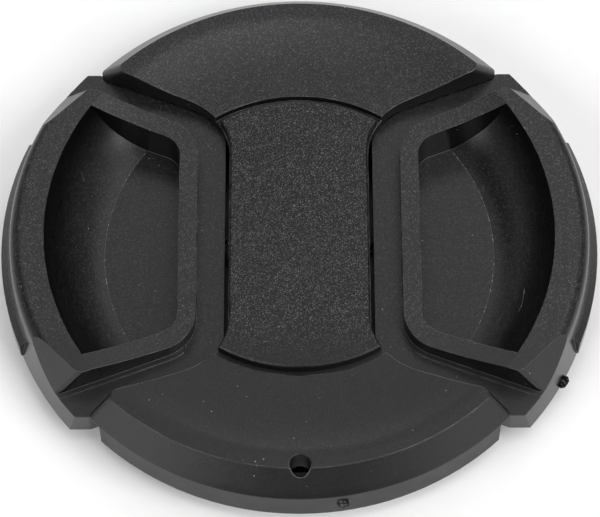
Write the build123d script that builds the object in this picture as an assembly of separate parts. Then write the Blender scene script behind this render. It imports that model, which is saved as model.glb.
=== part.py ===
from build123d import *
import os
from math import cos, pi, radians, sin, tan

# Lens cap with two centre-pinch levers, for a 58 mm filter thread.
# Millimetres. Z points out of the front face, X runs from lever to lever.
# The origin is on the cap's axis, at the level of its lowest edge.

# Front shell
RIM_RADIUS = 30.0
FRONT_INSET = 2.16
FRONT_Z = 9.37
CHAMFER_DROP = 2.87
RIM_SEAT_Z = 2.75
RIM_WALL = 1.2
CREST_WIDTH = 1.64
CREST_ROUND = 4.0
CRESCENT_CORNER = 0.8
DISH_RADIUS = 17.4
DISH_DEPTH = 1.47
DECK_THICKNESS = 1.55
DECK_CORNER = 0.5
RIM_END_ANGLE = 46.64

# Windows in the deck that the levers show through
BRIDGE_HALF_WIDTH = 7.46
WINDOW_SLANT = 21.8
WINDOW_HALF_AT_REF = 17.42
WINDOW_CORNER = 6.7
REF_X = 15.0

# Centre plate and its recess
PLATE_RADIUS = 16.0
RECESS_RADIUS = 16.77
PLATE_THICKNESS = 1.2
RECESS_DEPTH = 0.84
PLATE_EDGE = 0.15
PLATE_SIDE_GAP = 0.12

# Pinch levers
LEVER_TOP_OUT = 0.4
LEVER_FOOT_OUT = 1.53
LEVER_TOP_ROUND = 1.3
LEVER_END_ANGLE = 40.79
TRAVEL = 2.5
TUB_PROUD = 0.05
TUB_CREST_DROP = 0.1
TUB_GAP = 0.87
TUB_SLANT = 21.3
TUB_HALF_AT_REF = 14.18
TUB_CORNER = 4.5
RING_WIDTH = 1.97
LEDGE_WIDTH = 0.55
LEDGE_HEIGHT = 0.12
LEDGE_START = 1.2
FLANGE_THICKNESS = 1.1
FLANGE_SETBACK = 0.44
FLANGE_CORNER = 5.3
FLANGE_UNDERLAP = 0.45
LEVER_WALL = 1.3
LEVER_WALL_FOOT_Z = 3.1
POCKET_INSET = 3.08
POCKET_FLOOR = 0.93
SCOOP_LENGTH = 6.07
SCOOP_BREAK = 12.0
FACET_INSET = 1.9
FACET_SLOPE = 52.0
FACET_TURN = 45.0
FACET_CORNER = 0.8
GRIP_OUT = 1.7
GRIP_HALF_ANGLE = 22.6
GRIP_HEIGHT = 2.4
GRIP_EDGE = 0.3

# Thread claws under the levers
CLAW_INSET = 1.7
CLAW_WALL = 1.4
CLAW_HALF_ANGLE = 24.0
CLAW_LIFT = 0.15
THREAD_INSET = 1.05
THREAD_PITCH = 0.75
THREAD_RIDGES = 2
RIDGE_ROOT = 0.6
RIDGE_CREST = 0.15

# Stops, posts, springs and cord hole
STOP_X = 17.1
STOP_WIDTH = 1.5
LUG_LENGTH = 1.6
LUG_REACH = 1.34
POST_X = 9.0
POST_Y = 22.5
POST_DIAMETER = 2.6
STAKE_DIAMETER = 3.8
STAKE_HEIGHT = 0.5
RIB_THICKNESS = 1.6
RIB_HALF_LENGTH = 5.0
CRADLE_WALL = 0.9
SPRING_WIRE = 0.4
SPRING_TURNS = 6
SPRING_SIDES = 8
SPRING_END_GAP = 0.05
SPIGOT_LENGTH = 1.2
CORD_HOLE_DIAMETER = 2.2
CORD_HOLE_INSET = 2.64

# Back cover
SKIRT_INSET = 1.9
SKIRT_WALL = 1.3
COVER_THICKNESS = 1.1
COVER_RECESS = 1.05
SPIGOT_WALL = 1.3
COVER_SPIGOT_HEIGHT = 1.6
COVER_SPIGOT_HALF_X = 16.0
CORD_NOTCH_WIDTH = 4.4

# Clearances
SLIDE_GAP = 0.3
FLOOR_GAP = 0.22
SEAT_GAP = 0.1
COIL_GAP = 0.175
SPIGOT_GAP = 0.25
BEYOND = 6.0

# Levels and places that follow from the sizes above
dish_z = FRONT_Z - DISH_DEPTH
deck_under_z = dish_z - DECK_THICKNESS
rim_edge_z = FRONT_Z - CHAMFER_DROP
cover_top_z = COVER_RECESS + COVER_THICKNESS
tub_dish_z = dish_z + TUB_PROUD
tub_crest_z = FRONT_Z - TUB_CREST_DROP
lever_foot_z = cover_top_z + FLOOR_GAP
pocket_floor_z = lever_foot_z + POCKET_FLOOR
flange_top_z = deck_under_z - FLOOR_GAP
flange_foot_z = flange_top_z - FLANGE_THICKNESS
front_radius = RIM_RADIUS - FRONT_INSET
crest_radius = front_radius - CREST_WIDTH
rim_inner_radius = RIM_RADIUS - RIM_WALL
rim_end_x = RIM_RADIUS * cos(radians(RIM_END_ANGLE))
lever_top_radius = RIM_RADIUS + LEVER_TOP_OUT
lever_foot_radius = RIM_RADIUS + LEVER_FOOT_OUT
lever_end_y = lever_foot_radius * sin(radians(LEVER_END_ANGLE))
grip_radius = RIM_RADIUS + GRIP_OUT
pocket_radius = RIM_RADIUS - POCKET_INSET
scoop_foot_radius = pocket_radius - SCOOP_LENGTH
claw_outer_radius = RIM_RADIUS - CLAW_INSET
thread_radius = RIM_RADIUS - THREAD_INSET
skirt_radius = RIM_RADIUS - SKIRT_INSET
cord_hole_y = CORD_HOLE_INSET - RIM_RADIUS
tub_inner_x = BRIDGE_HALF_WIDTH + TRAVEL + TUB_GAP
flange_inner_x = BRIDGE_HALF_WIDTH + FLANGE_SETBACK
cradle_half_length = flange_inner_x - TRAVEL - 2 * SLIDE_GAP
spring_z = (cover_top_z + flange_foot_z) / 2
spring_diameter = flange_foot_z - cover_top_z - 2 * COIL_GAP
spigot_diameter = spring_diameter - 2 * SPRING_WIRE - 2 * SPIGOT_GAP
reach = RIM_RADIUS + BEYOND


def turned(points):
    """Solid of revolution about Z from a closed (radius, height) outline."""
    return revolve(Plane.XZ * make_face(Polyline(*points, close=True)), Axis.Z)


def dished(floor_z, crest):
    """Half section of a front face: level middle that curves up to the crest."""
    foot = (DISH_RADIUS, floor_z)
    return [Line((0, floor_z), foot), TangentArc(foot, crest, tangent=(1, 0))]


def slab(outline, low_z, high_z):
    return extrude(Pos(0, 0, low_z) * outline, high_z - low_z)


def block(x_range, y_range, z_range):
    sizes = [b - a for a, b in (x_range, y_range, z_range)]
    centre = [(a + b) / 2 for a, b in (x_range, y_range, z_range)]
    return Pos(*centre) * Box(*sizes)


def rod(diameter, low_z, high_z):
    return Pos(0, 0, (low_z + high_z) / 2) * Cylinder(diameter / 2, high_z - low_z)


def both_sides(solid):
    return solid + mirror(solid, about=Plane.YZ)


def four_corners(solid):
    pair = both_sides(solid)
    return pair + mirror(pair, about=Plane.XZ)


def side_outline(inner_x, slant, half_at_ref, corner):
    """Outline opening outwards: straight inner edge, rounded corners, slanted sides."""
    near_y = half_at_ref + tan(radians(slant)) * (inner_x - REF_X)
    far_y = half_at_ref + tan(radians(slant)) * (reach - REF_X)
    points = [(inner_x, -near_y), (reach, -far_y), (reach, far_y), (inner_x, near_y)]
    face = make_face(Polyline(*points, close=True))
    return fillet(face.vertices().sort_by(Axis.X)[:2], corner)


window = side_outline(BRIDGE_HALF_WIDTH, WINDOW_SLANT, WINDOW_HALF_AT_REF, WINDOW_CORNER)
flange_half = WINDOW_HALF_AT_REF + FLANGE_UNDERLAP / cos(radians(WINDOW_SLANT))
flange_outline = side_outline(flange_inner_x, WINDOW_SLANT, flange_half, FLANGE_CORNER)
tub_outline = side_outline(tub_inner_x, TUB_SLANT, TUB_HALF_AT_REF, TUB_CORNER)
pocket_outline = offset(tub_outline, -RING_WIDTH)
ledge_outline = offset(tub_outline, LEDGE_WIDTH)


def at_crescent_corner(edge):
    """Whether the edge climbs the outside of the rim where a window cuts it."""
    ends = (edge @ 0, edge @ 1)
    outermost = max(Vector(end.X, end.Y).length for end in ends)
    climb = abs(ends[0].Z - ends[1].Z)
    return outermost > rim_inner_radius + SEAT_GAP and climb > SEAT_GAP and abs(ends[0].Y) > SEAT_GAP


def make_front_shell():
    crest = (crest_radius, FRONT_Z)
    outside = Polyline(
        crest,
        (front_radius, FRONT_Z),
        (RIM_RADIUS, rim_edge_z),
        (RIM_RADIUS, RIM_SEAT_Z),
        (rim_inner_radius, RIM_SEAT_Z),
        (rim_inner_radius, deck_under_z - DECK_CORNER),
        (rim_inner_radius - DECK_CORNER, deck_under_z),
        (0, deck_under_z),
        (0, dish_z),
    )
    section = make_face([*dished(dish_z, crest), outside])
    brow = section.vertices().sort_by_distance((*crest, 0))[0]
    shell = revolve(Plane.XZ * fillet(brow, CREST_ROUND), Axis.Z)
    shell -= both_sides(slab(window, deck_under_z - DECK_CORNER, FRONT_Z + BEYOND))
    shell = fillet(shell.edges().filter_by(at_crescent_corner), CRESCENT_CORNER)
    shell -= rod(2 * RECESS_RADIUS, dish_z - RECESS_DEPTH, FRONT_Z + BEYOND)

    # The rim wall stops short of the levers' ends and of the way they slide
    end_y = lever_end_y + SLIDE_GAP
    wall_z = (0, deck_under_z)
    shell -= both_sides(block((rim_end_x, reach), (-reach, reach), wall_z))
    shell -= both_sides(block((rim_end_x - TRAVEL - SLIDE_GAP, reach), (-end_y, end_y), wall_z))

    # Posts that are staked over the back cover, and stops for the levers' lugs
    post = rod(POST_DIAMETER, COVER_RECESS - STAKE_HEIGHT / 2, deck_under_z)
    post += rod(STAKE_DIAMETER, COVER_RECESS - STAKE_HEIGHT, COVER_RECESS)
    shell += four_corners(Pos(POST_X, POST_Y) * post)
    stop_top = (flange_foot_z, deck_under_z + SEAT_GAP)
    stop = block((STOP_X, STOP_X + STOP_WIDTH), (end_y, RIM_RADIUS), stop_top)
    shell += four_corners(stop & rod(2 * (rim_inner_radius + SEAT_GAP), 0, FRONT_Z))

    # Rib across the middle with a spigot and a cradle for each spring
    under_bridge = (cover_top_z + SEAT_GAP, deck_under_z)
    half_rib = RIB_THICKNESS / 2
    shell += block((-half_rib, half_rib), (-RIB_HALF_LENGTH, RIB_HALF_LENGTH), under_bridge)
    cradle_y = spring_diameter / 2 + SLIDE_GAP
    for side in (1, -1):
        edges = sorted((side * cradle_y, side * (cradle_y + CRADLE_WALL)))
        shell += block((-cradle_half_length, cradle_half_length), edges, under_bridge)
    spigots = Cylinder(spigot_diameter / 2, RIB_THICKNESS + 2 * SPIGOT_LENGTH)
    shell += Pos(0, 0, spring_z) * Rot(0, 90, 0) * spigots

    shell -= Pos(0, cord_hole_y) * rod(CORD_HOLE_DIAMETER, 0, FRONT_Z + BEYOND)
    return shell


def make_centre_plate():
    seat_z = dish_z - RECESS_DEPTH
    plate = rod(2 * PLATE_RADIUS, seat_z, seat_z + PLATE_THICKNESS)
    inset_window = offset(window, PLATE_SIDE_GAP)
    plate -= both_sides(slab(inset_window, seat_z, FRONT_Z + BEYOND))
    top = plate.faces().sort_by(Axis.Z)[-1]
    return chamfer(top.edges(), PLATE_EDGE)


def lever_envelope():
    """Everything inside the lever's outer wall, with the dished front and its rounded edge."""
    crest = (pocket_radius, tub_crest_z)
    outside = Polyline(
        crest,
        (lever_top_radius, tub_crest_z),
        (lever_foot_radius, LEVER_WALL_FOOT_Z),
        (claw_outer_radius, LEVER_WALL_FOOT_Z),
        (claw_outer_radius, lever_foot_z),
        (0, lever_foot_z),
        (0, tub_dish_z),
    )
    face = make_face([*dished(tub_dish_z, crest), outside])
    outer_corner = face.vertices().sort_by(lambda v: v.X + v.Y)[-1]
    return revolve(Plane.XZ * fillet(outer_corner, LEVER_TOP_ROUND), Axis.Z)


def make_pocket():
    """Finger pocket: flat floor, then a scoop that curves up to the outer edge."""
    rise = (cos(radians(SCOOP_BREAK)), sin(radians(SCOOP_BREAK)))
    foot = (scoop_foot_radius, pocket_floor_z)
    edge = (pocket_radius, tub_crest_z)
    scoop = TangentArc(foot, edge, tangent=rise)
    open_z = FRONT_Z + BEYOND
    sides = Polyline(edge, (pocket_radius, open_z), (0, open_z), (0, pocket_floor_z), foot)
    bowl = revolve(Plane.XZ * make_face([scoop, sides]), Axis.Z)
    return bowl & slab(pocket_outline, pocket_floor_z, open_z)


def at_facet_corner(edge):
    """Whether the edge runs slantwise down the tub, between a facet and a side."""
    climb = abs((edge @ 0).Z - (edge @ 1).Z)
    return SEAT_GAP < climb < edge.length - SEAT_GAP and (edge @ 0.5).X < RIM_RADIUS


def make_tub():
    """Raised rim of the finger pocket, cut off slantwise at both outer ends, with a ledge along its sides."""
    tub = slab(tub_outline, lever_foot_z, FRONT_Z)
    for side in (1, -1):
        away = Vector(cos(radians(FACET_TURN)), side * sin(radians(FACET_TURN)), 0)
        normal = away * sin(radians(FACET_SLOPE)) + Vector(0, 0, cos(radians(FACET_SLOPE)))
        facet = Plane(away * (RIM_RADIUS - FACET_INSET) + Vector(0, 0, tub_crest_z), z_dir=normal)
        cutter = facet * Pos(0, 0, BEYOND / 2) * Box(reach, reach, BEYOND)
        tub -= cutter & block((0, 2 * reach), (-reach, reach), (flange_top_z, FRONT_Z + BEYOND))
    tub = fillet(tub.edges().filter_by(at_facet_corner), FACET_CORNER)
    ledge_z = (flange_foot_z, flange_top_z + LEDGE_HEIGHT)
    ledge_reach = block((tub_inner_x + LEDGE_START, reach), (-reach, reach), ledge_z)
    return tub + (slab(ledge_outline, *ledge_z) & ledge_reach)


def sector(points, half_angle):
    """Part of a ring on the +X side, from a closed (radius, height) outline."""
    face = Plane.XZ * make_face(Polyline(*points, close=True))
    return Rot(0, 0, -half_angle) * revolve(face, Axis.Z, 2 * half_angle)


def make_claw():
    """Wall that hooks into the filter thread with a few ridges."""
    inner = claw_outer_radius - CLAW_WALL
    foot = CLAW_LIFT
    depth = thread_radius - claw_outer_radius
    points = [(inner, foot), (claw_outer_radius - depth, foot), (claw_outer_radius, foot + depth)]
    for ridge in range(THREAD_RIDGES):
        middle_z = foot + depth + (ridge + 0.5) * THREAD_PITCH
        points.append((claw_outer_radius, middle_z - RIDGE_ROOT / 2))
        points.append((thread_radius, middle_z - RIDGE_CREST / 2))
        points.append((thread_radius, middle_z + RIDGE_CREST / 2))
        points.append((claw_outer_radius, middle_z + RIDGE_ROOT / 2))
    points.append((claw_outer_radius, flange_foot_z))
    points.append((inner, flange_foot_z))
    return sector(points, CLAW_HALF_ANGLE)


def make_grip():
    """Swell along the lower half of the lever's outer wall, for the fingertips."""
    root = lever_top_radius - LEVER_WALL / 2
    slope_z = LEVER_WALL_FOOT_Z + GRIP_HEIGHT
    points = [
        (root, LEVER_WALL_FOOT_Z),
        (grip_radius - GRIP_EDGE, LEVER_WALL_FOOT_Z),
        (grip_radius, LEVER_WALL_FOOT_Z + GRIP_EDGE),
        (grip_radius, slope_z),
        (root, slope_z + grip_radius - root),
    ]
    return sector(points, GRIP_HALF_ANGLE)


def make_right_lever():
    plan = flange_outline & Pos(reach / 2, 0) * Rectangle(reach, 2 * lever_end_y)
    lever = lever_envelope() & slab(plan, 0, FRONT_Z + BEYOND)

    # Only the tub stands above the flange, and only tub and walls reach below it
    tub = make_tub()
    wall_inner = lever_top_radius - LEVER_WALL
    end_inner_y = lever_end_y - LEVER_WALL
    below = (0, flange_foot_z)
    hollow = rod(2 * wall_inner, *below) & block((0, reach), (-end_inner_y, end_inner_y), below)
    hollow += block((0, rim_end_x), (-reach, reach), below)
    lever -= block((0, 2 * reach), (-reach, reach), (flange_top_z, FRONT_Z + BEYOND)) - tub
    lever -= hollow - tub

    # Slot that leaves the claw standing free of the outer wall
    lever -= rod(2 * wall_inner, *below) - rod(2 * claw_outer_radius, *below)
    lever += make_claw()
    lever += make_grip()

    # Lugs that rest against the stops of the front shell
    lug_y = lever_end_y + LUG_REACH
    lug_x = (STOP_X - SEAT_GAP - LUG_LENGTH, STOP_X - SEAT_GAP)
    lever += block(lug_x, (-lug_y, lug_y), (flange_foot_z, flange_top_z))
    spigot = Cylinder(spigot_diameter / 2, SPIGOT_LENGTH + RING_WIDTH)
    spigot_x = tub_inner_x + (RING_WIDTH - SPIGOT_LENGTH) / 2
    lever += Pos(spigot_x, 0, spring_z) * Rot(0, 90, 0) * spigot
    return lever - make_pocket()


def make_right_spring():
    """Coil between the rib and the lever, drawn with straight lengths of six-sided wire."""
    end_room = SPRING_WIRE / 2 + SPRING_END_GAP
    start_x = RIB_THICKNESS / 2 + end_room
    length = tub_inner_x - end_room - start_x
    mean_radius = (spring_diameter - SPRING_WIRE) / 2
    steps = SPRING_TURNS * SPRING_SIDES
    points = []
    for step in range(steps + 1):
        turn = 2 * pi * step / SPRING_SIDES
        height = spring_z + mean_radius * sin(turn)
        points.append((start_x + length * step / steps, mean_radius * cos(turn), height))
    coil = Polyline(*points)
    section = Plane(coil @ 0, z_dir=coil % 0) * RegularPolygon(SPRING_WIRE / 2, 6)
    return sweep(section, coil, transition=Transition.RIGHT)


def make_back_cover():
    skirt_inner = skirt_radius - SKIRT_WALL
    spigot_radius = rim_inner_radius - SEAT_GAP
    spigot_foot = RIM_SEAT_Z + SEAT_GAP
    spigot_top = spigot_foot + COVER_SPIGOT_HEIGHT
    cover = turned([
        (0, COVER_RECESS),
        (skirt_inner, COVER_RECESS),
        (skirt_inner, 0),
        (skirt_radius, 0),
        (skirt_radius, spigot_foot),
        (spigot_radius, spigot_foot),
        (spigot_radius, spigot_top),
        (spigot_radius - SPIGOT_WALL, spigot_top),
        (spigot_radius - SPIGOT_WALL, cover_top_z),
        (0, cover_top_z),
    ])
    above_floor = (cover_top_z, FRONT_Z)
    cover -= both_sides(block((COVER_SPIGOT_HALF_X, reach), (-reach, reach), above_floor))

    # Ways for the claws, holes for the posts and a notch for the cord
    half_angle = radians(CLAW_HALF_ANGLE)
    claw_inner_x = (claw_outer_radius - CLAW_WALL) * cos(half_angle)
    claw_end_y = thread_radius * sin(half_angle) + SLIDE_GAP
    way_x = claw_inner_x - TRAVEL - SLIDE_GAP
    cover -= both_sides(block((way_x, reach), (-claw_end_y, claw_end_y), (0, FRONT_Z)))
    hole = rod(POST_DIAMETER + 2 * SEAT_GAP, 0, FRONT_Z)
    cover -= four_corners(Pos(POST_X, POST_Y) * hole)
    half_notch = CORD_NOTCH_WIDTH / 2
    notch_y = cord_hole_y + half_notch
    cover -= block((-half_notch, half_notch), (-reach, notch_y), (0, FRONT_Z))
    return cover


right_lever = make_right_lever()
right_spring = make_right_spring()
pieces = {
    "front_shell": make_front_shell(),
    "centre_plate": make_centre_plate(),
    "right_lever": right_lever,
    "left_lever": mirror(right_lever, about=Plane.YZ),
    "right_spring": right_spring,
    "left_spring": mirror(right_spring, about=Plane.YZ),
    "back_cover": make_back_cover(),
}
os.makedirs("parts", exist_ok=True)
for name, piece in pieces.items():
    export_step(piece, f"parts/{name}.step")
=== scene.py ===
from math import cos, pi, radians, sin

import bmesh
import bpy
from mathutils import Matrix, Vector, noise


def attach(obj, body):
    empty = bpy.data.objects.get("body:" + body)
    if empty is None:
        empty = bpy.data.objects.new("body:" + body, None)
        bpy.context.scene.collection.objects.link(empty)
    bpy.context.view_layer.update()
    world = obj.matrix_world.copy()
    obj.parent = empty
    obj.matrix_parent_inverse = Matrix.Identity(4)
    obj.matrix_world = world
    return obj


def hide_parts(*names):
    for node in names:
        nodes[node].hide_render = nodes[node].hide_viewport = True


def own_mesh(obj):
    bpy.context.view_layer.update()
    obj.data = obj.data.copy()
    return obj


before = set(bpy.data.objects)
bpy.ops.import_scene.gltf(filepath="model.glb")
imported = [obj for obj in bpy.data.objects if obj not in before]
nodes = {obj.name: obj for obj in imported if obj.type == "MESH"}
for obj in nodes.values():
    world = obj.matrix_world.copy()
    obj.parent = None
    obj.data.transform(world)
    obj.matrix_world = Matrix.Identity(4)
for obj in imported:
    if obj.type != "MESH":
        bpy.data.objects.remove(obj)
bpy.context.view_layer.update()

# Looks of a black moulded lens cap with two pinch levers, lying front up.
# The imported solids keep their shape. This script gives them finishes, small marks, light and a camera.
# Lengths are in metres, with sizes written in millimetres through MM.
# X runs to the right, Y away from the camera and Z up.
MM = 0.001
SIDES = {"right": 1, "left": -1}

# The photograph's width in pixels, and the camera that was fitted to it
PHOTO_WIDTH = 600
SENSOR_WIDTH_MM = 36.0
CAMERA_TARGET_HEIGHT = 6.5 * MM
CAMERA_DISTANCE = 293.9 * MM
CAMERA_TILT = radians(61.584)
CAMERA_ROLL = -0.0042  # radians
CAMERA_FOCAL_PIXELS = 2768
TARGET_RIGHT_PIXELS = -0.75
TARGET_UP_PIXELS = 20.2

# The studio: a wide floor, a faint glow all round, and soft lights that face the cap from one distance.
# Each light has its azimuth, clockwise from behind the cap, and its elevation in degrees,
# then its width and height in metres and its power in watts.
FLOOR_HALF_WIDTH = 2.0
GLOW_STRENGTH = 0.02
LIGHT_DISTANCE = 1.0
SOFTBOXES = (
    ("overhead_front", 180, 82, 0.55, 0.3, 0.9),
    ("overhead_right", 95, 73, 0.35, 0.3, 0.9),
    ("right_high", 62, 58, 0.6, 0.5, 0.55),
    ("overhead_softbox", 0, 90, 0.7, 0.7, 1.2),
    ("back_sheet", 0, 52, 1.0, 0.4, 1.5),
    ("back_low", 0, 27, 1.2, 0.35, 0.7),
    ("back_strip", 0, 8, 1.0, 0.3, 3.2),
    ("left_key", -135, 36, 0.75, 0.5, 4.8),
    ("right_key", 126, 44, 0.6, 0.6, 6.1),
    ("left_wall", -72, 22, 1.2, 0.6, 0.85),
    ("right_wall", 72, 22, 1.2, 0.6, 0.5),
    ("left_strip", -126, 9, 0.75, 0.3, 1.3),
    ("right_strip", 126, 9, 0.75, 0.3, 0.9),
)

# Coil springs, as the part has them, and how finely they are drawn
SPRING_DIAMETER = 2.53 * MM
SPRING_WIRE = 0.4 * MM
SPRING_TURNS = 6
SPRING_NEAR_END = 0.85 * MM
SPRING_FAR_END = 10.78 * MM
SPRING_HEIGHT = 3.59 * MM
WIRE_SIDES = 12
STEPS_A_TURN = 32
WELD_DISTANCE = 0.001 * MM

# The crease between the floor and the scoop of each finger pocket, and the witness line that lies in it,
# painted pale as the crease's highlight
CREASE_RADIUS = 20.85 * MM
CREASE_HEIGHT = 3.3 * MM
CREASE_HALF_ANGLE = radians(37)
WITNESS_RADIUS = 0.045 * MM
WITNESS_SIDES = 8
WITNESS_STEPS = 64

# Torn stubs start as a ball one unit across: how far and how closely it is lumped and shredded,
# and the seed that gives the same tears in each run
LUMP_REACH, LUMP_RATE = 0.16, 2.3
SHRED_REACH, SHRED_RATE = 0.1, 7.0
TEAR_SEED = 1795823968

# Moulded plastic: faces count as level, and as flat, by the Z of their normal
LEVEL_FROM, LEVEL_FULL = 0.2, 0.6
FLAT_FROM, FLAT_FULL = 0.3, 0.9

# The raised front has the full grain, and the faces sunk below it a weaker one
GRAIN_STARTS, GRAIN_FULL = 6.6 * MM, 7.4 * MM
SUNK_GRAIN = 0.6

# The near side has fewer painted glints and a paler black ground, changing between these places along Y
NEAR_SIDE_UNTIL, NEAR_SIDE_ENDS = -15.5 * MM, -10.5 * MM
NEAR_SIDE_SHARE = 0.2
NEAR_SIDE_BLACK = "#0f0f0f"

# Only the brightest quarter of the grain's hills gets a painted glint
PAINTED_GLINT_FROM = 0.75

# Edges are found by the cosine between their rounded and their true normal
EDGE_FROM, EDGE_FULL = 0.99, 0.8
EDGE_SAMPLES = 8
# The grey of the highlight painted along edges
EDGE_HIGHLIGHT_GREY = "#6a6a68"

# Patches: the levels of one noise at which edges get a painted highlight, dust gathers and handling changes
# the gloss
PATCH_SIZE = 2.5 * MM
EDGE_HIGHLIGHT_FROM, EDGE_HIGHLIGHT_FULL = 0.44, 0.7
DUST_FROM, DUST_FULL = 0.5, 0.6
SMUDGE_FROM, SMUDGE_FULL = 0.3, 0.7
SMUDGE_ROUGHNESS = 0.03

# Dust specks about a tenth of a millimetre across, with their edge and core as parts of their spacing
SPECK_SPACING = 1.3 * MM
SPECK_EDGE, SPECK_CORE = 0.055, 0.04
DUST_GREY = "#8c8c89"

# Torn plastic: the size and depth of its ridges, and the levels of noise at which they are stretched pale
TEAR_SIZE = 0.35 * MM
TEAR_DEPTH = 0.08 * MM
STRETCHED_FROM, STRETCHED_FULL = 0.54, 0.68

# The drawn wire's streaks and the card's tooth are too fine to show, so they are drawn coarser
STREAK_SIZE = 0.3 * MM
TOOTH_SIZE = 2 * MM


def linear(code):
    """The linear colour of an sRGB hex code."""
    channels = [int(code[i:i + 2], 16) / 255 for i in (1, 3, 5)]
    return [c / 12.92 if c <= 0.04045 else ((c + 0.055) / 1.055) ** 2.4 for c in channels] + [1.0]


def add(tree, kind, inputs=None, **settings):
    """A new node with its settings, and its inputs set to values or linked to other nodes' outputs."""
    node = tree.nodes.new(kind)
    for name, value in settings.items():
        setattr(node, name, value)
    for socket, value in (inputs or {}).items():
        if isinstance(value, bpy.types.NodeSocket):
            tree.links.new(value, node.inputs[socket])
        else:
            node.inputs[socket].default_value = value
    return node


def new_material(name):
    """An empty material with its node tree, its shader and the piece's own coordinates."""
    material = bpy.data.materials.new(name)
    material.use_nodes = True
    tree = material.node_tree
    tree.nodes.clear()
    shader = add(tree, "ShaderNodeBsdfPrincipled")
    add(tree, "ShaderNodeOutputMaterial", {"Surface": shader.outputs["BSDF"]})
    coordinates = add(tree, "ShaderNodeTexCoord").outputs
    return material, tree, shader, coordinates


def moulded_abs(name, dark, painted_glint, ior, face_roughness, wall_roughness, grain_mm, depth_mm, edge_mm):
    """Black ABS from a spark-eroded mould.
    It gives the eye a fine grain with painted glints on the faces that look up, fewer glints on a paler black
    near side, plain walls, and painted highlights along edges in patches."""
    material, tree, shader, coordinates = new_material(name)
    place = coordinates["Object"]
    shader.inputs["IOR"].default_value = ior

    # Where the mould left grain: full on the raised front, weaker on the sunk faces, none on upright walls
    facing = add(tree, "ShaderNodeSeparateXYZ", {"Vector": coordinates["Normal"]})
    spot = add(tree, "ShaderNodeSeparateXYZ", {"Vector": place})
    level = add(tree, "ShaderNodeMapRange",
                {"Value": facing.outputs["Z"], "From Min": LEVEL_FROM, "From Max": LEVEL_FULL})
    raised = add(tree, "ShaderNodeMapRange",
                 {"Value": spot.outputs["Z"], "From Min": GRAIN_STARTS, "From Max": GRAIN_FULL,
                  "To Min": SUNK_GRAIN, "To Max": 1.0})
    far_side = add(tree, "ShaderNodeMapRange",
                 {"Value": spot.outputs["Y"], "From Min": NEAR_SIDE_UNTIL, "From Max": NEAR_SIDE_ENDS,
                  "To Min": NEAR_SIDE_SHARE, "To Max": 1.0})
    moulded = add(tree, "ShaderNodeMath",
                  {0: level.outputs["Result"], 1: raised.outputs["Result"]}, operation="MULTIPLY")

    # Where the grain gets painted glints: most on the flat faces, fewer on the near side
    flat = add(tree, "ShaderNodeMapRange",
               {"Value": facing.outputs["Z"], "From Min": FLAT_FROM, "From Max": FLAT_FULL})
    glint_share = add(tree, "ShaderNodeMath",
                {0: flat.outputs["Result"], 1: far_side.outputs["Result"]}, operation="MULTIPLY")
    glint_places = add(tree, "ShaderNodeMath",
                  {0: moulded.outputs["Value"], 1: glint_share.outputs["Value"]}, operation="MULTIPLY")

    # The grain's small hills, each with its own brightness, the brightest painted as pale glints on a ground
    # that is a paler black on the near side. Real ones are about 0.05 mm apart, which is half a pixel of the
    # render, so they are drawn coarser to show, and mostly by their colour
    hills = add(tree, "ShaderNodeTexVoronoi", {"Vector": place, "Scale": 1 / (grain_mm * MM)})
    lot = add(tree, "ShaderNodeSeparateXYZ", {"Vector": hills.outputs["Color"]})
    bright = add(tree, "ShaderNodeMapRange",
                 {"Value": lot.outputs["X"], "From Min": PAINTED_GLINT_FROM, "From Max": 1.0})
    painted_glints = add(tree, "ShaderNodeMath",
                     {0: bright.outputs["Result"], 1: glint_places.outputs["Value"]}, operation="MULTIPLY")
    ground = add(tree, "ShaderNodeMix",
                 {"Factor": far_side.outputs["Result"], "A": linear(NEAR_SIDE_BLACK), "B": linear(dark)},
                 data_type="RGBA")
    body = add(tree, "ShaderNodeMix",
               {"Factor": painted_glints.outputs["Value"], "A": ground.outputs["Result"], "B": linear(painted_glint)},
               data_type="RGBA")

    # Edges rounded by the mould, with a painted highlight along them in patches
    rounded = add(tree, "ShaderNodeBevel", {"Radius": edge_mm * MM}, samples=EDGE_SAMPLES)
    surface = add(tree, "ShaderNodeNewGeometry")
    turned = add(tree, "ShaderNodeVectorMath",
                 {0: rounded.outputs["Normal"], 1: surface.outputs["Normal"]}, operation="DOT_PRODUCT")
    edge = add(tree, "ShaderNodeMapRange",
               {"Value": turned.outputs["Value"], "From Min": EDGE_FROM, "From Max": EDGE_FULL})
    patches = add(tree, "ShaderNodeTexNoise", {"Vector": place, "Scale": 1 / PATCH_SIZE, "Detail": 3.0})
    highlight_patches = add(tree, "ShaderNodeMapRange",
                  {"Value": patches.outputs["Fac"], "From Min": EDGE_HIGHLIGHT_FROM, "From Max": EDGE_HIGHLIGHT_FULL})
    edge_highlight = add(tree, "ShaderNodeMath",
                 {0: edge.outputs["Result"], 1: highlight_patches.outputs["Result"]}, operation="MULTIPLY")
    highlighted = add(tree, "ShaderNodeMix",
                  {"Factor": edge_highlight.outputs["Value"], "A": body.outputs["Result"], "B": linear(EDGE_HIGHLIGHT_GREY)},
                  data_type="RGBA")

    # Specks of pale dust that gather in patches
    specks = add(tree, "ShaderNodeTexVoronoi", {"Vector": place, "Scale": 1 / SPECK_SPACING})
    speck = add(tree, "ShaderNodeMapRange",
                {"Value": specks.outputs["Distance"], "From Min": SPECK_EDGE, "From Max": SPECK_CORE})
    gathered = add(tree, "ShaderNodeMapRange",
                   {"Value": patches.outputs["Fac"], "From Min": DUST_FROM, "From Max": DUST_FULL})
    dusty = add(tree, "ShaderNodeMath",
                {0: speck.outputs["Result"], 1: gathered.outputs["Result"]}, operation="MULTIPLY")
    colour = add(tree, "ShaderNodeMix",
                 {"Factor": dusty.outputs["Value"], "A": highlighted.outputs["Result"], "B": linear(DUST_GREY)},
                 data_type="RGBA")
    tree.links.new(colour.outputs["Result"], shader.inputs["Base Color"])

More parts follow.
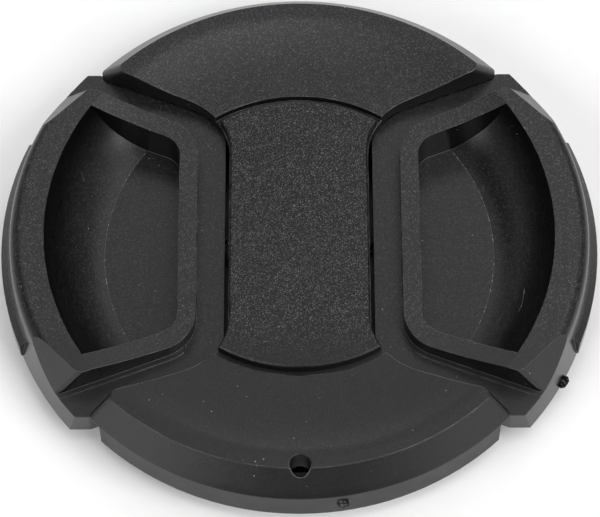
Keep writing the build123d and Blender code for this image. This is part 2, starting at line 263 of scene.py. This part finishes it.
    # One roughness for walls, another for the faces that look up, both a little uneven from handling
    finish = add(tree, "ShaderNodeMapRange",
                 {"Value": level.outputs["Result"], "To Min": wall_roughness, "To Max": face_roughness})
    smudge = add(tree, "ShaderNodeMapRange",
                 {"Value": patches.outputs["Fac"], "From Min": SMUDGE_FROM, "From Max": SMUDGE_FULL,
                  "To Min": -SMUDGE_ROUGHNESS, "To Max": SMUDGE_ROUGHNESS})
    gloss = add(tree, "ShaderNodeMath",
                {0: finish.outputs["Result"], 1: smudge.outputs["Result"]}, operation="ADD")
    tree.links.new(gloss.outputs["Value"], shader.inputs["Roughness"])

    # The hills stand out of the surface on the near side as well
    relief = add(tree, "ShaderNodeMath",
                 {0: hills.outputs["Distance"], 1: moulded.outputs["Value"]}, operation="MULTIPLY")
    bump = add(tree, "ShaderNodeBump",
               {"Strength": 1.0, "Distance": depth_mm * MM, "Height": relief.outputs["Value"],
                "Normal": rounded.outputs["Normal"]}, invert=True)
    tree.links.new(bump.outputs["Normal"], shader.inputs["Normal"])
    return material


def torn_abs(name, pits, ridge):
    """ABS that was torn or scratched.
    It gives the eye a dull surface, with dark pits between ridges that stretching has made paler."""
    material, tree, shader, coordinates = new_material(name)
    shader.inputs["IOR"].default_value = 1.54
    shader.inputs["Specular IOR Level"].default_value = 0.15
    ridges = add(tree, "ShaderNodeTexNoise",
                 {"Vector": coordinates["Object"], "Scale": 1 / TEAR_SIZE, "Detail": 3.0})
    stretched = add(tree, "ShaderNodeMapRange",
                    {"Value": ridges.outputs["Fac"], "From Min": STRETCHED_FROM, "From Max": STRETCHED_FULL})
    colour = add(tree, "ShaderNodeMix",
                 {"Factor": stretched.outputs["Result"], "A": linear(pits), "B": linear(ridge)},
                 data_type="RGBA")
    tree.links.new(colour.outputs["Result"], shader.inputs["Base Color"])
    rough = add(tree, "ShaderNodeMapRange", {"Value": ridges.outputs["Fac"], "To Min": 0.9, "To Max": 0.4})
    tree.links.new(rough.outputs["Result"], shader.inputs["Roughness"])
    bump = add(tree, "ShaderNodeBump", {"Distance": TEAR_DEPTH, "Height": ridges.outputs["Fac"]})
    tree.links.new(bump.outputs["Normal"], shader.inputs["Normal"])
    return material


def drawn_steel_wire():
    """Drawn spring steel.
    It gives the eye a bright grey metal whose tone and gloss are a little uneven."""
    material, tree, shader, coordinates = new_material("drawn_steel_wire")
    shader.inputs["Metallic"].default_value = 1.0
    streaks = add(tree, "ShaderNodeTexNoise",
                  {"Vector": coordinates["Object"], "Scale": 1 / STREAK_SIZE, "Detail": 2.0})
    colour = add(tree, "ShaderNodeMix",
                 {"Factor": streaks.outputs["Fac"], "A": linear("#8d8f92"), "B": linear("#b4b5b7")},
                 data_type="RGBA")
    tree.links.new(colour.outputs["Result"], shader.inputs["Base Color"])
    rough = add(tree, "ShaderNodeMapRange", {"Value": streaks.outputs["Fac"], "To Min": 0.22, "To Max": 0.38})
    tree.links.new(rough.outputs["Result"], shader.inputs["Roughness"])
    return material


def matt_card():
    """Pale uncoated card.
    It gives the eye an even matt white with a faint tooth."""
    material, tree, shader, coordinates = new_material("matt_card")
    tooth = add(tree, "ShaderNodeTexNoise",
                {"Vector": coordinates["Object"], "Scale": 1 / TOOTH_SIZE, "Detail": 2.0})
    colour = add(tree, "ShaderNodeMix",
                 {"Factor": tooth.outputs["Fac"], "A": linear("#f3f3f3"), "B": linear("#f6f6f6")},
                 data_type="RGBA")
    tree.links.new(colour.outputs["Result"], shader.inputs["Base Color"])
    shader.inputs["Roughness"].default_value = 0.9
    return material


def paint(piece, material):
    """Gives a piece one material in place of what it had."""
    piece.data.materials.clear()
    piece.data.materials.append(material)


def smooth_mesh(name, builder):
    """A smooth mesh from a bmesh, with its faces pointing outwards."""
    mesh = bpy.data.meshes.new(name)
    bmesh.ops.recalc_face_normals(builder, faces=builder.faces)
    builder.to_mesh(mesh)
    builder.free()
    mesh.shade_smooth()
    return mesh


def place_piece(shape, material, body):
    """A new piece from its mesh or curve, painted and riding on a body of the part."""
    piece = bpy.data.objects.new(shape.name, shape)
    bpy.context.scene.collection.objects.link(piece)
    paint(piece, material)
    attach(piece, body)
    return piece


# The shell has soft painted glints and dull walls
shell_abs = moulded_abs(
    "moulded_abs_fine_grain", dark="#080808", painted_glint="#464646", ior=1.49,
    face_roughness=0.30, wall_roughness=0.5, grain_mm=0.09, depth_mm=0.016, edge_mm=0.2)
# The centre plate has the blackest ground and the brightest painted glints
plate_abs = moulded_abs(
    "moulded_abs_grain_painted_bright_glints", dark="#040404", painted_glint="#606060", ior=1.42,
    face_roughness=0.30, wall_roughness=0.3, grain_mm=0.075, depth_mm=0.016, edge_mm=0.12)
# The levers have glossier walls and sharper edges
lever_abs = moulded_abs(
    "moulded_abs_satin", dark="#080808", painted_glint="#484848", ior=1.53,
    face_roughness=0.30, wall_roughness=0.2, grain_mm=0.09, depth_mm=0.013, edge_mm=0.09)
# The back has hardly any painted glints
cover_abs = moulded_abs(
    "moulded_abs_back", dark="#0a0a0a", painted_glint="#1c1c1c", ior=1.5,
    face_roughness=0.33, wall_roughness=0.28, grain_mm=0.14, depth_mm=0.012, edge_mm=0.12)
wire_steel = drawn_steel_wire()
scar_abs = torn_abs("torn_abs", pits="#010101", ridge="#5c5c5a")
# Scratches are scuffed pale; the witness lines are painted pale as the highlight along each pocket's crease
scuffed_abs_and_painted_highlight = torn_abs("scuffed_abs_and_painted_highlight", pits="#4c4c4a", ridge="#9a9a98")

for node, material in (
    ("front_shell", shell_abs),
    ("centre_plate", plate_abs),
    ("left_lever", lever_abs),
    ("right_lever", lever_abs),
    ("back_cover", cover_abs),
    ("left_spring", wire_steel),
    ("right_spring", wire_steel),
):
    paint(nodes[node], material)


def coil_spring(name, side):
    """A smooth coil with its end turns closed, in place of the plain packed one."""
    wire = bmesh.new()
    mean_radius = (SPRING_DIAMETER - SPRING_WIRE) / 2
    start = Vector((side * (SPRING_NEAR_END + SPRING_WIRE / 2), mean_radius, SPRING_HEIGHT))
    bmesh.ops.create_circle(wire, cap_ends=True, segments=WIRE_SIDES, radius=SPRING_WIRE / 2,
                            matrix=Matrix.Translation(start))
    length = SPRING_FAR_END - SPRING_NEAR_END - SPRING_WIRE
    open_turns = SPRING_TURNS - 2
    open_pitch = (length - 2 * SPRING_WIRE) / open_turns
    tip = list(wire.verts) + list(wire.edges) + list(wire.faces)
    for pitch in (SPRING_WIRE, *[open_pitch] * open_turns, SPRING_WIRE):
        turn = bmesh.ops.spin(
            wire, geom=tip, cent=(0, 0, SPRING_HEIGHT), axis=(side, 0, 0), angle=2 * pi,
            steps=STEPS_A_TURN, dvec=(side * pitch / STEPS_A_TURN, 0, 0))
        tip = turn["geom_last"]
    bmesh.ops.remove_doubles(wire, verts=wire.verts, dist=WELD_DISTANCE)
    piece = place_piece(smooth_mesh(f"{name}_coil", wire), wire_steel, "cap_body")
    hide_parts(f"{name}_spring")
    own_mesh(piece)


for name, side in SIDES.items():
    coil_spring(name, side)


def torn_stub(name, body, spot_mm, outward, width_mm, height_mm, depth_mm):
    """A torn end of plastic that stands out of a wall, as where the moulding was broken off its runner."""
    stub = bmesh.new()
    bmesh.ops.create_icosphere(stub, subdivisions=4, radius=0.5)
    for vertex in stub.verts:
        lumps = LUMP_REACH * noise.noise_vector(vertex.co * LUMP_RATE)
        shreds = SHRED_REACH * noise.noise_vector(vertex.co * SHRED_RATE)
        vertex.co += lumps + shreds
    turn = Vector(outward).to_track_quat("Y", "Z").to_matrix().to_4x4()
    size = Matrix.Diagonal((width_mm * MM, depth_mm * MM, height_mm * MM, 1))
    bmesh.ops.transform(stub, matrix=Matrix.Translation(Vector(spot_mm) * MM) @ turn @ size, verts=stub.verts)
    place_piece(smooth_mesh(name, stub), scar_abs, body)


noise.seed_set(TEAR_SEED)
torn_stub("gate_scar", "cap_body", spot_mm=(4.4, -29.62, 4.62),
          outward=(0.147, -0.989, 0), width_mm=1.4, height_mm=2.1, depth_mm=0.6)
torn_stub("right_flash", "right_lever_body", spot_mm=(27.55, -15.45, 3.2),
          outward=(0.87, -0.49, 0.1), width_mm=1.5, height_mm=0.8, depth_mm=0.9)
torn_stub("left_flash", "left_lever_body", spot_mm=(-29.15, 11.95, 3.4),
          outward=(-0.93, 0.37, 0.1), width_mm=0.45, height_mm=0.4, depth_mm=0.5)


def scratch(name, carrier, route_mm, width_mm):
    """A hairline scratch on a lever, whose raised burr follows the lever's surface."""
    burr = bpy.data.curves.new(name, "CURVE")
    burr.dimensions = "3D"
    burr.bevel_depth = width_mm / 2 * MM
    burr.bevel_resolution = 1
    burr.use_fill_caps = True
    path = burr.splines.new("POLY")
    path.points.add(len(route_mm) - 1)
    for point, place_mm in zip(path.points, route_mm):
        _, spot, _, _ = nodes[carrier].closest_point_on_mesh(Vector(place_mm) * MM)
        point.co = (*spot, 1.0)
    place_piece(burr, scuffed_abs_and_painted_highlight, f"{carrier}_body")


# The levers' surfaces can be searched only after an update
bpy.context.view_layer.update()
scratch("right_pocket_scratch", "right_lever", width_mm=0.07, route_mm=(
    (23.79, -5.31, 5.05), (23.72, -5.8, 5.09), (23.64, -6.29, 5.13),
    (23.55, -6.9, 5.17), (23.37, -7.52, 5.21), (22.99, -8.15, 5.07)))
scratch("left_pocket_scratch", "left_lever", width_mm=0.06, route_mm=(
    (-23.42, 8.71, 5.65), (-23.3, 8.2, 5.4), (-23.21, 7.76, 5.14)))
scratch("left_flange_scratch", "left_lever", width_mm=0.05, route_mm=(
    (-10.28, 12.37, 6.13), (-9.9, 11.8, 6.13), (-9.4, 11.11, 6.13)))


def witness_line_highlight(name, side):
    """The fine raised line that the mould's insert leaves where a pocket's floor turns up into its scoop,
    painted pale as the crease's highlight.
    """
    bead = bmesh.new()
    foot = Vector((side * CREASE_RADIUS, 0, CREASE_HEIGHT))
    bmesh.ops.create_circle(bead, cap_ends=True, segments=WITNESS_SIDES, radius=WITNESS_RADIUS,
                            matrix=Matrix.Translation(foot) @ Matrix.Rotation(pi / 2, 4, "X"))
    bmesh.ops.rotate(bead, cent=(0, 0, 0), matrix=Matrix.Rotation(-CREASE_HALF_ANGLE, 3, "Z"),
                     verts=bead.verts)
    section = list(bead.verts) + list(bead.edges) + list(bead.faces)
    bmesh.ops.spin(bead, geom=section, cent=(0, 0, 0), axis=(0, 0, 1), angle=2 * CREASE_HALF_ANGLE,
                   steps=WITNESS_STEPS)
    place_piece(smooth_mesh(f"{name}_witness_line_highlight", bead), scuffed_abs_and_painted_highlight, f"{name}_lever_body")


for name, side in SIDES.items():
    witness_line_highlight(name, side)

# Floor, light and camera
floor_sheet = bmesh.new()
bmesh.ops.create_grid(floor_sheet, x_segments=1, y_segments=1, size=FLOOR_HALF_WIDTH)
floor_mesh = bpy.data.meshes.new("floor")
floor_sheet.to_mesh(floor_mesh)
floor_sheet.free()
floor = bpy.data.objects.new("floor", floor_mesh)
bpy.context.scene.collection.objects.link(floor)
paint(floor, matt_card())

world = bpy.data.worlds.new("studio")
world.use_nodes = True
glow = world.node_tree.nodes["Background"].inputs
glow["Color"].default_value = linear("#ffffff")
glow["Strength"].default_value = GLOW_STRENGTH
bpy.context.scene.world = world
bpy.context.scene.view_settings.view_transform = "Standard"

for name, azimuth, elevation, width, height, power in SOFTBOXES:
    lamp = bpy.data.lights.new(name, "AREA")
    lamp.shape = "RECTANGLE"
    lamp.size = width
    lamp.size_y = height
    lamp.energy = power
    softbox = bpy.data.objects.new(name, lamp)
    bearing, rise = radians(azimuth), radians(elevation)
    away = Vector((cos(rise) * sin(bearing), cos(rise) * cos(bearing), sin(rise)))
    softbox.location = away * LIGHT_DISTANCE
    softbox.rotation_euler = away.to_track_quat("Z", "Y").to_euler()
    bpy.context.scene.collection.objects.link(softbox)

camera_data = bpy.data.cameras.new("camera")
camera_data.sensor_width = SENSOR_WIDTH_MM
camera_data.lens = CAMERA_FOCAL_PIXELS / PHOTO_WIDTH * SENSOR_WIDTH_MM
camera_data.shift_x = -TARGET_RIGHT_PIXELS / PHOTO_WIDTH
camera_data.shift_y = -TARGET_UP_PIXELS / PHOTO_WIDTH
camera = bpy.data.objects.new("camera", camera_data)
camera.location = (0, -CAMERA_DISTANCE * cos(CAMERA_TILT),
                   CAMERA_TARGET_HEIGHT + CAMERA_DISTANCE * sin(CAMERA_TILT))
turn = Matrix.Rotation(pi / 2 - CAMERA_TILT, 4, "X") @ Matrix.Rotation(CAMERA_ROLL, 4, "Z")
camera.rotation_euler = turn.to_euler()
bpy.context.scene.collection.objects.link(camera)
bpy.context.scene.camera = camera
